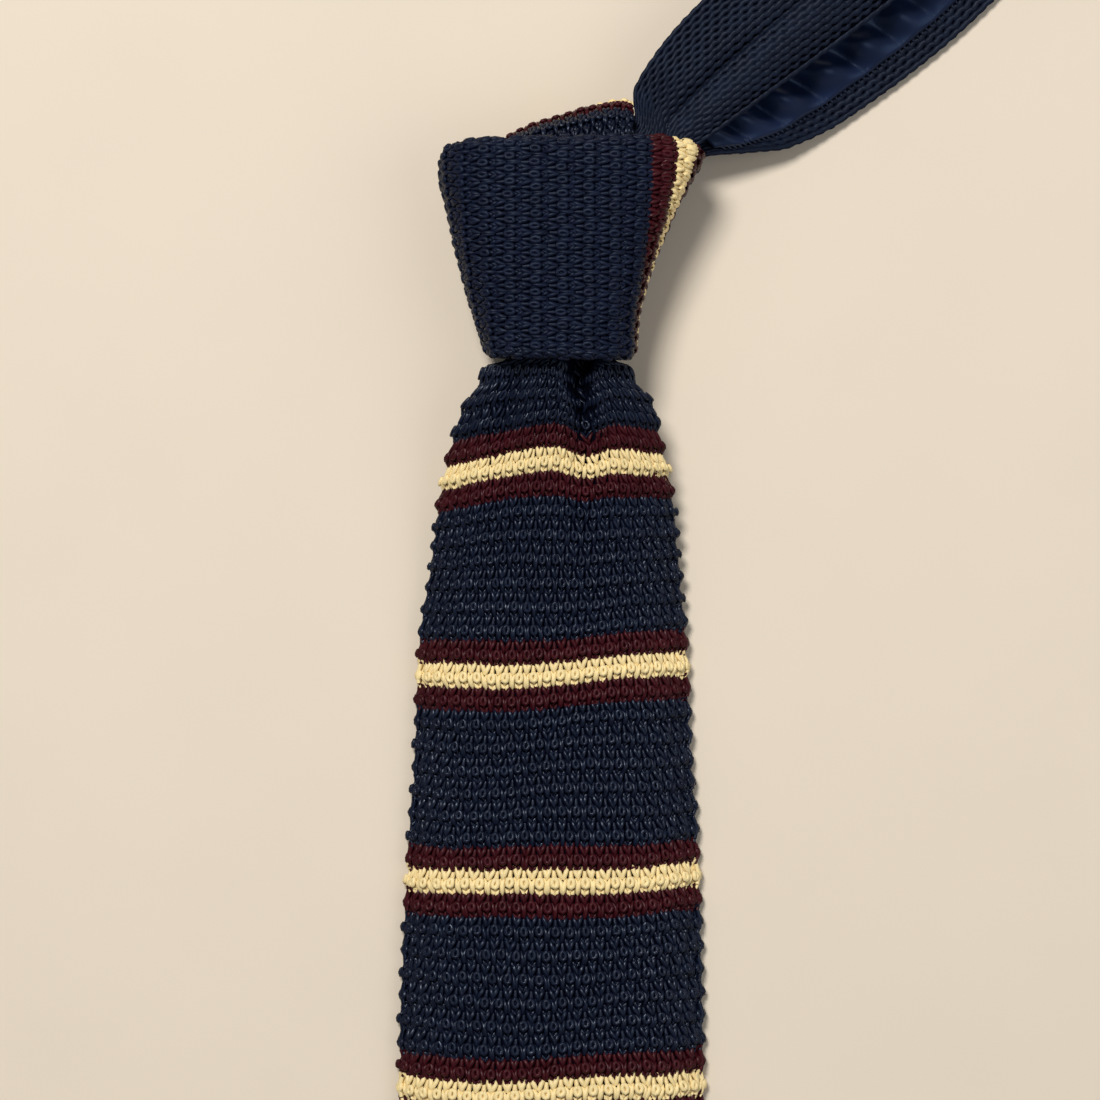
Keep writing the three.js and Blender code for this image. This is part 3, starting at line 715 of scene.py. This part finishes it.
def stitch_width(surface, row, count):
    """The width of one stitch at a row."""
    i = np.searchsorted(surface.rows, row)
    closed = np.concatenate([surface.grid[i], surface.grid[i, :1]])
    girth = np.linalg.norm(np.diff(closed, axis=0), axis=1).sum()
    return np.clip(girth / count, *STITCH_WIDTHS)


def knit_blade():
    rows = np.arange(-BLADE_GOES_IN, BLADE_LENGTH, BLADE_ROW_STEP)
    rings = [blade_or_pass(s).ring(STITCH_POINTS * BLADE_STITCHES) for s in rows]
    surface = Surface(rows, np.array(rings))
    for rib in BLADE_RIBS:
        row = FIRST_RIB + RIB_PITCH * rib
        columns = np.arange(BLADE_STITCHES) + 0.5 * (rib % 2)
        width = stitch_width(surface, row, BLADE_STITCHES)
        face = on_face(columns / BLADE_STITCHES)
        face_half = "upper" if rib < LOWER_FROM_RIB else "lower"
        for half, chosen, fine in (("under", columns[~face], False), (face_half, columns[face], True)):
            yarn = yarn_for(f"blade_{stripe(rib)}_{half}")
            at_row = np.full(len(chosen), row)
            stitches(yarn, surface, at_row, chosen, blade_cell, width, fine, BLADE_RELIEF)


def knit_turn():
    rows = np.arange(-TURN_GOES_IN, TURN_RIBS.stop + TURN_ROW_STEP, TURN_ROW_STEP)
    rings = [turn_or_pass(d).ring(LARGE_STITCH_POINTS * TURN_STITCHES) for d in rows]
    surface = Surface(rows, np.array(rings))
    for number, angle in enumerate(TURN_RIBS):
        columns = np.arange(-1, TURN_STITCHES / 2 + 2) + 0.5 * (number % 2)
        yarn = yarn_for(f"turn_{TURN_STRIPE.get(angle, 'navy')}")
        at_row = np.full(len(columns), float(angle))
        stitches(yarn, surface, at_row, columns, turn_cell, TURN_STITCH_WIDTH)


def blade_ground():
    """The cloth under the blade's stitches, from behind the turn to the hem: near black, as painted shade in
    the holes between them.
    """
    places = [turn_place(degrees) for degrees in range(180, -1, -GROUND_TURN_STEP)]
    places += [pass_place(up) for up in GROUND_PASS_RISES]
    places += [blade_place(s) for s in np.arange(0, BLADE_LENGTH - HEM_SHORT, GROUND_STEP)]
    rings = [place.ring(GROUND_COUNT, GROUND_INSET) for place in places]
    rings.insert(0, rings[0] - TURN_BACK_LENGTH * Y)
    rings.append(blade_place(BLADE_LENGTH - HEM_SHORT).ring(GROUND_COUNT, GROUND_INSET + HEM_INSET))
    return shell("blade_ground", rings, ground_shade)


knit_blade()
knit_turn()
blade_shell = blade_ground()

# the knot's wrap

OUTLINE_COUNT = 480
OUTLINE_BELOW = 2.5
OUTLINE_LAYERS = 8

WRAP_RISE = 41.6
LIP = WRAP_THICKNESS / 2
WRAP_WAY = WRAP_RISE - 2 * LIP + LIP * np.pi
LIP_POINTS = 13
FACE_POINTS = 60

WRAP_STITCHES = 18
WRAP_STITCH_WIDTH = 2.9
WRAP_RELIEF = 0.8
WRAP_STRIPE = {19: "burgundy", 18: "cream", 17: "burgundy"}
SEEN_SHARE = 0.3
WRAP_GROUND_COUNT = 208

# The ribs keep an even pitch up to this share of the way round, and then take up what is left.
EVEN_UP_TO = 0.25
TAKE_UP_POWER = 1.2


def knot_outline(y, depth):
    """Points at equal steps round the knot at a height, from its right over the face, at a depth."""
    rise = (y - MOUTH_Y) / KNOT_HEIGHT
    half = knot.depth(rise) * KNOT_DEPTH / 2
    angle = np.linspace(0, 2 * np.pi, OUTLINE_COUNT + 1)
    c, s = np.cos(angle), np.sin(angle)
    power = 2 / np.where(s > 0, FACE_SQUARENESS, BACK_SQUARENESS)
    side = KNOT_TOP_HALF_WIDTH * np.where(c > 0, knot.right(rise), knot.left(rise)) - depth
    reach = np.where(s > 0, half - depth, half + WRAP_SINK * (1 - depth / WRAP_THICKNESS) - depth)
    x = side * np.sign(c) * np.abs(c) ** power
    z = half + reach * np.sign(s) * np.abs(s) ** power
    outline = np.stack([x, np.full_like(x, y), np.maximum(z, 0)], 1)
    return even(outline[:-1], OUTLINE_COUNT)


# The outlines lie 1 mm apart.
outline_y = np.arange(MOUTH_Y - OUTLINE_BELOW, MOUTH_Y + KNOT_HEIGHT)
outline_depth = np.linspace(0, WRAP_THICKNESS, OUTLINE_LAYERS)
outlines = np.array([[knot_outline(y, d) for d in outline_depth] for y in outline_y])


def share_at_line(outline):
    """The share of the way round an outline at which its face has the x of the straight rib line."""
    i = np.argmax(outline[:, 0] < RIB_LINE_X)
    t = (RIB_LINE_X - outline[i - 1, 0]) / (outline[i, 0] - outline[i - 1, 0])
    return (i - 1 + t) / len(outline)


line_shares = np.array([share_at_line(outline) for outline in outlines[:, 0]])
steps_round = np.linalg.norm(np.roll(outlines[:, 0], -1, 1) - outlines[:, 0], axis=2)
squeezes = WRAP_RIBS * WRAP_RIB_PITCH / steps_round.sum(1)


def rib_share(rib, y):
    """The share of the way round the knot at which a rib lies at a height, as in the solid: straight up the
    face, with what is left taken up by the back. rib is -0.5 to 0.5, from back to back."""
    squeeze = np.interp(y, outline_y, squeezes)
    past = np.maximum(0, (np.abs(rib) - EVEN_UP_TO) / (0.5 - EVEN_UP_TO)) ** TAKE_UP_POWER
    way = squeeze * np.abs(rib) + 0.5 * (1 - squeeze) * past
    return np.interp(y, outline_y, line_shares) + np.sign(rib) * way


def knot_point(rise, inset, turn):
    """A point of the wrap. rise runs from its foot to its top rim, inset from its outer face to its inner,
    and turn once round it from the straight rib line, towards the left."""
    rib = (turn + 0.5) % 1 - 0.5
    foot = rim.foot(rib_share(rib, MOUTH_Y) % 1)
    top = rim.top(rib_share(rib, MOUTH_Y + KNOT_HEIGHT) % 1)
    y = MOUTH_Y + KNOT_HEIGHT * lerp(foot, top, rise)
    place = rib_share(rib, y) % 1 * OUTLINE_COUNT
    level = np.clip(y - outline_y[0], 0, len(outline_y) - SHORT_OF_LAST)
    layer = np.clip(inset * (OUTLINE_LAYERS - 1), 0, OUTLINE_LAYERS - SHORT_OF_LAST)
    i, d, k = (np.floor(a).astype(int) for a in (level, layer, place))
    up, deep, on = ((a - np.floor(a))[..., None] for a in (level, layer, place))
    after, k = (k + 1) % OUTLINE_COUNT, k % OUTLINE_COUNT

    def at(a, b):
        return lerp(outlines[a, b, k], outlines[a, b, after], on)

    return lerp(lerp(at(i, d), at(i + 1, d), up), lerp(at(i, d + 1), at(i + 1, d + 1), up), deep)


def wrap_profile():
    """The wrap's section, from inside its foot over the face to its top: place along it, rise and inset."""
    arc = np.linspace(0, np.pi, LIP_POINTS)
    foot = np.stack([LIP * (arc - np.pi / 2), LIP - LIP * np.sin(arc), LIP + LIP * np.cos(arc)], 1)
    flat = np.linspace(LIP, WRAP_RISE - LIP, FACE_POINTS)[1:-1]
    face = np.stack([flat - LIP + LIP * np.pi / 2, flat, np.zeros_like(flat)], 1)
    top = np.stack([WRAP_WAY - foot[::-1, 0], WRAP_RISE - foot[::-1, 1], foot[::-1, 2]], 1)
    place, rise, inset = np.concatenate([foot, face, top]).T
    return place, rise / WRAP_RISE, inset / WRAP_THICKNESS


def wrap_cell(row, column, x, y):
    return (row + x) * WRAP_WAY / WRAP_STITCHES, (column + 0.5 + y / RIDGE) / WRAP_RIBS


def knit_wrap():
    """Its ribs run straight up and down, tips to the left. The stripe comes round its right side."""
    place, rise, inset = wrap_profile()
    count = LARGE_STITCH_POINTS * WRAP_RIBS
    turns = np.arange(count) / count
    grid = knot_point(*np.broadcast_arrays(rise[:, None], inset[:, None], turns[None, :]))
    surface = Surface(place, grid, np.array([0, 0, KNOT_DEPTH / 2]))
    for rib in range(WRAP_RIBS):
        rows = np.arange(-1, WRAP_STITCHES + 1) + 0.5 + 0.5 * (rib % 2)
        fine = abs((rib / WRAP_RIBS + 0.5) % 1 - 0.5) < SEEN_SHARE
        colour = WRAP_STRIPE.get(rib, "navy")
        yarn = yarn_for(f"wrap_{colour}" if fine else f"wrap_{colour}_back")
        at_rib = np.full(len(rows), rib)
        stitches(yarn, surface, rows, at_rib, wrap_cell, WRAP_STITCH_WIDTH, fine, WRAP_RELIEF)


def wrap_ground():
    """A closed ring of cloth under the wrap's stitches: near black, as painted shade in the holes between
    them.
    """
    profile = [(rise, GROUND_INSET / WRAP_THICKNESS) for rise in np.linspace(0.025, 0.975, 24)]
    profile += [(0.98, 0.75)]
    profile += [(rise, 0.97) for rise in (0.97, 0.75, 0.5, 0.25, 0.03)]
    profile += [(0.02, 0.75)]
    rise, inset = np.array(profile).T
    turn = np.arange(WRAP_GROUND_COUNT) / WRAP_GROUND_COUNT
    grid = knot_point(*np.broadcast_arrays(rise[None, :], inset[None, :], turn[:, None]))
    return shell("wrap_ground", np.concatenate([grid, grid[:1]]), ground_shade, caps=False)


knit_wrap()
wrap_shell = wrap_ground()

# the tail

TAIL_STITCHES = 30
TAIL_RIBS = range(4, 36)
TAIL_HIDDEN = (0.04, 0.44)
TAIL_INSET = 1.4
TAIL_GROUND_COUNT = 64
TAIL_GROUND_STEP = 2.0
TAIL_HEM_SHORT = 0.6


def tail_cell(row, column, x, y):
    return row - y * RIB_PITCH / RIDGE, (column + x) / TAIL_STITCHES


def knit_tail():
    """Only its underside and edges, as the blade hides its face."""
    rows = np.arange(TAIL_LENGTH + 1)
    surface = Surface(rows, np.array([tail_place(s).ring(STITCH_POINTS * TAIL_STITCHES) for s in rows]))
    for rib in TAIL_RIBS:
        columns = np.arange(TAIL_STITCHES) + 0.5 * (rib % 2)
        share = columns / TAIL_STITCHES
        columns = columns[(share < TAIL_HIDDEN[0]) | (share > TAIL_HIDDEN[1])]
        row = RIB_PITCH * rib
        width = stitch_width(surface, row, TAIL_STITCHES)
        stitches(yarn_for("tail_navy"), surface, np.full(len(columns), row), columns, tail_cell, width, False)


# The cloth under the tail's stitches: near black, as painted shade in the holes between them.
def tail_ground_shade():
    steps = np.arange(0, TAIL_LENGTH, TAIL_GROUND_STEP)
    rings = [tail_place(s).ring(TAIL_GROUND_COUNT, TAIL_INSET) for s in steps]
    hem = tail_place(TAIL_LENGTH - TAIL_HEM_SHORT)
    rings.append(hem.ring(TAIL_GROUND_COUNT, TAIL_INSET + HEM_INSET))
    return shell("tail_ground_shade", rings, ground_shade)


knit_tail()
tail_shell = tail_ground_shade()

# the neck loop

ARM_STEPS = 400
FOLD_SHARE = 0.7
arm_headings = np.radians(arm.heading((np.arange(ARM_STEPS) + 0.5) / ARM_STEPS))
arm_steps = np.stack([np.cos(arm_headings), np.sin(arm_headings)], 1) * ARM_LENGTH / ARM_STEPS
arm_line = np.concatenate([[[0, 0]], np.cumsum(arm_steps, 0)]) + np.array(ARM_START)


class Band:
    """The neck band at an array of ways: from 0 in the knot along the upper arm to 1, round the bend to 2,
    and back along the lower arm to 3."""

    def __init__(self, way):
        way = np.asarray(way, float)
        share = np.where(way <= 1, way, np.where(way < 2, 1, 3 - way))
        upper = way < 1.5
        bent = (way > 1) & (way < 2)
        heading = np.radians(arm.heading(share))
        zero = np.zeros_like(heading)
        forward = np.stack([np.cos(heading), np.sin(heading), zero], -1)
        self.right = np.stack([np.sin(heading), -np.cos(heading), zero], -1)
        places = np.arange(ARM_STEPS + 1)
        line = [np.interp(share * ARM_STEPS, places, arm_line[:, i]) for i in (0, 1)]
        angle = np.pi * np.clip(way - 1, 0, 1)[..., None]
        self.out = np.cos(angle) * Z + np.sin(angle) * forward
        height = np.where(upper, arm.upper_height(share), arm.lower_height(share)) * LOOP_HEIGHT
        height = np.where(bent, LOOP_HEIGHT / 2, height) + NECK_THICKNESS / 2
        offset = np.where(upper, arm.upper_shift(share), arm.lower_shift(share)) * NECK_WIDTH
        self.centre = np.stack([*line, height], -1)
        self.centre = self.centre + np.where(bent[..., None], self.out * LOOP_HEIGHT / 2, 0)
        self.centre = self.centre + self.right * np.where(bent, 0, offset)[..., None]
        self.width = NECK_WIDTH * np.where(upper, arm.upper_width(share), arm.lower_width(share))
        on_arm = way <= 1
        self.crown = np.where(on_arm, arm.crown(share), 0) * NECK_WIDTH
        self.groove = np.where(on_arm, arm.groove(share), 0) * GROOVE_DEPTH

    def point(self, x, off):
        """The point x to the right of the band's middle and off from its middle surface."""
        across = 2 * x / self.width
        fold = x - GROOVE_PLACE * self.width / 2
        groove = self.groove * (bell(fold, GROOVE_HALF_WIDTH) + FOLD_SHARE * bell(fold, FOLD_HALF_WIDTH))
        out = off - self.crown * across**2 - groove
        return self.centre + self.right * x[..., None] + self.out * out[..., None]


WAY_STEPS = 3000
way_samples = np.linspace(0, 3, WAY_STEPS + 1)
zeros = np.zeros_like(way_samples)
middle_line = Band(way_samples).point(zeros, zeros)
way_length = np.concatenate([[0], np.cumsum(np.linalg.norm(np.diff(middle_line, axis=0), axis=1))])
BAND_LENGTH = way_length[-1]

MESH_STRANDS = 21
MESH_MARGIN = 0.15
MESH_PERIOD = 2.45
MESH_STEPS = 5
MESH_SWING = 0.27
MESH_SHIFT = 0.76 * np.pi
MESH_JITTER = (0.03, 0.015)
MESH_ROUNDNESS = 6
MESH_STANDS = 0.56
EDGE_STRAND_SWING = 0.35
NARROW_RADIUS = 0.35

# Where across the band the mesh closes, and how its strands differ, from open mesh to dense.
MESH_CLOSES = (-0.35, 0)
MESH_RIPPLES = (0.06, 0.025)
STRAND_RADII = (0.76, 1.06)
STRAND_FLATNESS = (0.3, 0.12)
INNER_DENSITY = 0.3

EYELET_ROW = 19.4
EYELET_HALF_WIDTH = 0.8
EYELET_SWING = 0.5
EYELET_THINS = 0.42

OUTER_START = 12
INNER_START = 22
INNER_EDGE_STRANDS = 6

BAND_GROUND_STEPS = 240
BAND_GROUND_COUNT = 37
BAND_GROUND_SHORT = 0.9
BAND_GROUND_ROUNDNESS = 8
BAND_GROUND_TOP = (0.3, 0.48)
BAND_GROUND_FOOT = -0.42


def way_at(length):
    return np.interp(length, way_length, way_samples)


def mesh_density(share):
    """How closed the mesh is across the band, from its open left third to its dense middle and right."""
    return eased(share, *MESH_CLOSES)


def mesh_strand(yarn, number, side, start):
    """One swinging strand of the mesh. The next one swings later, so slanting slits open between them. They
    are smaller in the band's middle and larger in the row of eyelets by its edge."""
    share = (number - (MESH_STRANDS - 1) / 2) / (MESH_STRANDS / 2 + MESH_MARGIN)
    length = np.arange(start, BAND_LENGTH - start, MESH_PERIOD / MESH_STEPS)
    band = Band(way_at(length))
    phase = 2 * np.pi * length / MESH_PERIOD + MESH_SHIFT * number
    edge = np.sqrt(1 - abs(share) ** MESH_ROUNDNESS)
    narrow = band.width / NECK_WIDTH
    eyelet = bell(number - EYELET_ROW, EYELET_HALF_WIDTH) if side > 0 else 0
    dense = mesh_density(share) if side > 0 else INNER_DENSITY
    held = EDGE_STRAND_SWING if number in (0, MESH_STRANDS - 1) else 1
    sway = MESH_SWING * (1 + EYELET_SWING * eyelet) * narrow * held
    x = share * band.width / 2 + sway * np.cos(phase) + rng.normal(0, MESH_JITTER[0], len(length))
    ripple = lerp(*MESH_RIPPLES, dense) * np.cos(2 * phase)
    off = side * (MESH_STANDS * edge + ripple) + rng.normal(0, MESH_JITTER[1], len(length))
    radius = (lerp(*STRAND_RADII, dense) - EYELET_THINS * eyelet) * lerp(NARROW_RADIUS, 1, narrow)
    flat = lerp(*STRAND_FLATNESS, dense)
    line, normal = band.point(x, off)[None], side * band.out[None]
    yarn.add(line, normal, radius[None], COARSE_SIDES, flat, twist=0.5)


def knit_band():
    outer, inner = Yarn(), Yarn()
    for number in range(MESH_STRANDS):
        mesh_strand(outer, number, 1, OUTER_START)
        if min(number, MESH_STRANDS - 1 - number) < INNER_EDGE_STRANDS:
            mesh_strand(inner, number, -1, INNER_START)
    outer.build("neck_mesh_outer", mesh_yarn)
    inner.build("neck_mesh_inner", mesh_yarn)


def band_ground_shade():
    """The cloth under the mesh, all the way round the loop: near black, as painted shade in its slits."""
    band = Band(way_at(np.linspace(0, BAND_LENGTH, BAND_GROUND_STEPS))[:, None])
    across = np.linspace(-1, 1, BAND_GROUND_COUNT)
    edge = np.sqrt(1 - np.abs(across) ** BAND_GROUND_ROUNDNESS)
    upper = lerp(*BAND_GROUND_TOP, mesh_density(across)) * edge
    lower = BAND_GROUND_FOOT * edge[-2:0:-1]
    x = np.concatenate([across, across[-2:0:-1]]) * (band.width - BAND_GROUND_SHORT) / 2
    return shell("neck_ground_shade", band.point(x, np.concatenate([upper, lower])), mesh_ground_shade)


LINING_STEPS = 720
LINING_COUNT = 23
LINING_SHARE = 0.8
LINING_HALF_THICK = 0.15
LINING_CURLS = 0.5
LINING_SINK = -(NECK_THICKNESS / 2 + LINING_GAP + LINING_THICKNESS / 2)

# By how much the puffs wander along the band, and over which length.
WANDERS = ((1.4, 19), (0.7, 7.7))

# The side of each row of puffs, their pitch and their height.
PUFF_ROWS = ((1, 8.6, 3.6), (-1, 7.4, 2.0))
PUFF_SLANT = 2.4
PUFF_POWER = 1.3
PUFF_SINK = 0.2
PUFF_PLACE = 0.4
PUFF_HALF_WIDTH = 0.45
PUFF_SWELL = 0.25
PUFF_SWELL_OVER = 9
SATIN_RIPPLE = 0.1
SATIN_RIPPLE_OVER = 0.8

SEAM_STEP = 0.55
SEAM_SWING = 0.75
SEAM_INSET = 0.2
SEAM_RADIUS = 0.19
SEAM_LIFTS = (0.15, 0.75)


def lining_width(band):
    return np.minimum(LINING_WIDTH, LINING_SHARE * band.width)


def satin_lift(length, across):
    """How far the satin stands off: its seams gather it into round puffs with tight pockets between."""
    phase = rng.uniform(0, np.pi, 4)
    wander = sum(by * np.sin(length / over + late) for (by, over), late in zip(WANDERS, phase))
    puffs = 0
    for (side, pitch, height), late in zip(PUFF_ROWS, phase[2:]):
        wave = np.sin(np.pi * (length + wander + PUFF_SLANT * across) / pitch + late)
        puff = np.abs(wave) ** PUFF_POWER - PUFF_SINK
        puffs = puffs + height * puff * bell(across - PUFF_PLACE * side, PUFF_HALF_WIDTH)
    ripple = SATIN_RIPPLE * np.sin(length / SATIN_RIPPLE_OVER + 3 * across + 2 * wander)
    swell = 1 + PUFF_SWELL * np.sin(length / PUFF_SWELL_OVER + phase[1])
    return (swell * puffs + ripple) * (1 - across**2) ** 0.5


def lining_sheet(start):
    length = np.linspace(start, BAND_LENGTH - start, LINING_STEPS)[:, None]
    across = np.linspace(-1, 1, LINING_COUNT)[None, :]
    band = Band(way_at(length))
    x = across * lining_width(band) / 2
    off = LINING_SINK + LINING_CURLS * across**6 - satin_lift(length, across)
    low, high = (band.point(x, off + thick) for thick in (-LINING_HALF_THICK, LINING_HALF_THICK))
    return shell("neck_lining_satin", np.concatenate([low, high[:, ::-1]], 1), satin)


def lining_seams(start):
    """The zigzag of thread along each edge of the satin."""
    seam = Yarn()
    steps = np.arange(start + 1, BAND_LENGTH - start - 1, SEAM_STEP)
    band = Band(way_at(steps))
    zig = np.where(np.arange(len(steps)) % 2, SEAM_SWING, -SEAM_SWING)
    for side in (-1, 1):
        x = side * (lining_width(band) / 2 - SEAM_INSET) + zig
        lift = np.where(zig * side > 0, SEAM_LIFTS[1], SEAM_LIFTS[0])
        seam.add(band.point(x, LINING_SINK + lift)[None], -band.out[None], SEAM_RADIUS, COARSE_SIDES)
    return seam.build("lining_seam", thread)


knit_band()
band_shell = band_ground_shade()
lining_start = np.interp(LINING_START, way_samples, way_length)
lining = lining_sheet(lining_start)
lining_seam = lining_seams(lining_start)

# the yarn meshes, with the solid's parts that the cloth replaces hidden

# The wrap's navy stitches take the knot's copy of the navy yarn, whose lighter colour is painted light.
for key, yarn in yarns.items():
    part, colour = key.split("_")[:2]
    yarn.build(key, knot_navy_painted_light if (part, colour) == ("wrap", "navy") else YARNS[colour])


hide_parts("front_blade")
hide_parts("knot_wrap")
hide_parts("tail_blade")
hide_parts("neck_band")
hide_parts("neck_lining")

# the floor, the light and the camera


def area_light(name, place, aim, size, power, colour):
    data = bpy.data.lights.new(name, "AREA")
    data.shape = "DISK"
    data.size = size
    data.energy = power
    data.color = colour
    light = bpy.data.objects.new(name, data)
    light.location = place
    light.rotation_euler = (Vector(aim) - Vector(place)).to_track_quat("-Z", "Y").to_euler()
    bpy.context.scene.collection.objects.link(light)


bpy.ops.mesh.primitive_plane_add(size=6, location=(0, 0, -0.0005))
floor = bpy.context.object
floor.name = "floor"
floor.data.materials.append(cloth("floor", (0.8, 0.7, 0.57), 0.7, 0.15, spread=0.01, grain=30))

area_light("key", (-0.3, 0.55, 1.2), (0, -0.03, 0), 0.4, 15.5, (1, 0.98, 0.95))
area_light("fill", (0.7, -0.2, 0.9), (0, -0.03, 0), 1.0, 2.5, (0.96, 0.98, 1))
world = bpy.data.worlds.new("world")
world.use_nodes = True
world.node_tree.nodes["Background"].inputs["Color"].default_value = (0.95, 0.97, 1, 1)
world.node_tree.nodes["Background"].inputs["Strength"].default_value = 0.18
bpy.context.scene.world = world

camera = bpy.data.objects.new("camera", bpy.data.cameras.new("camera"))
camera.data.sensor_width = 36
camera.data.lens = 117.3
camera.data.clip_start = 0.01
camera.location = (-0.00193, -0.0587, 0.7)
bpy.context.scene.collection.objects.link(camera)
bpy.context.scene.camera = camera
bpy.context.scene.view_settings.view_transform = "Standard"
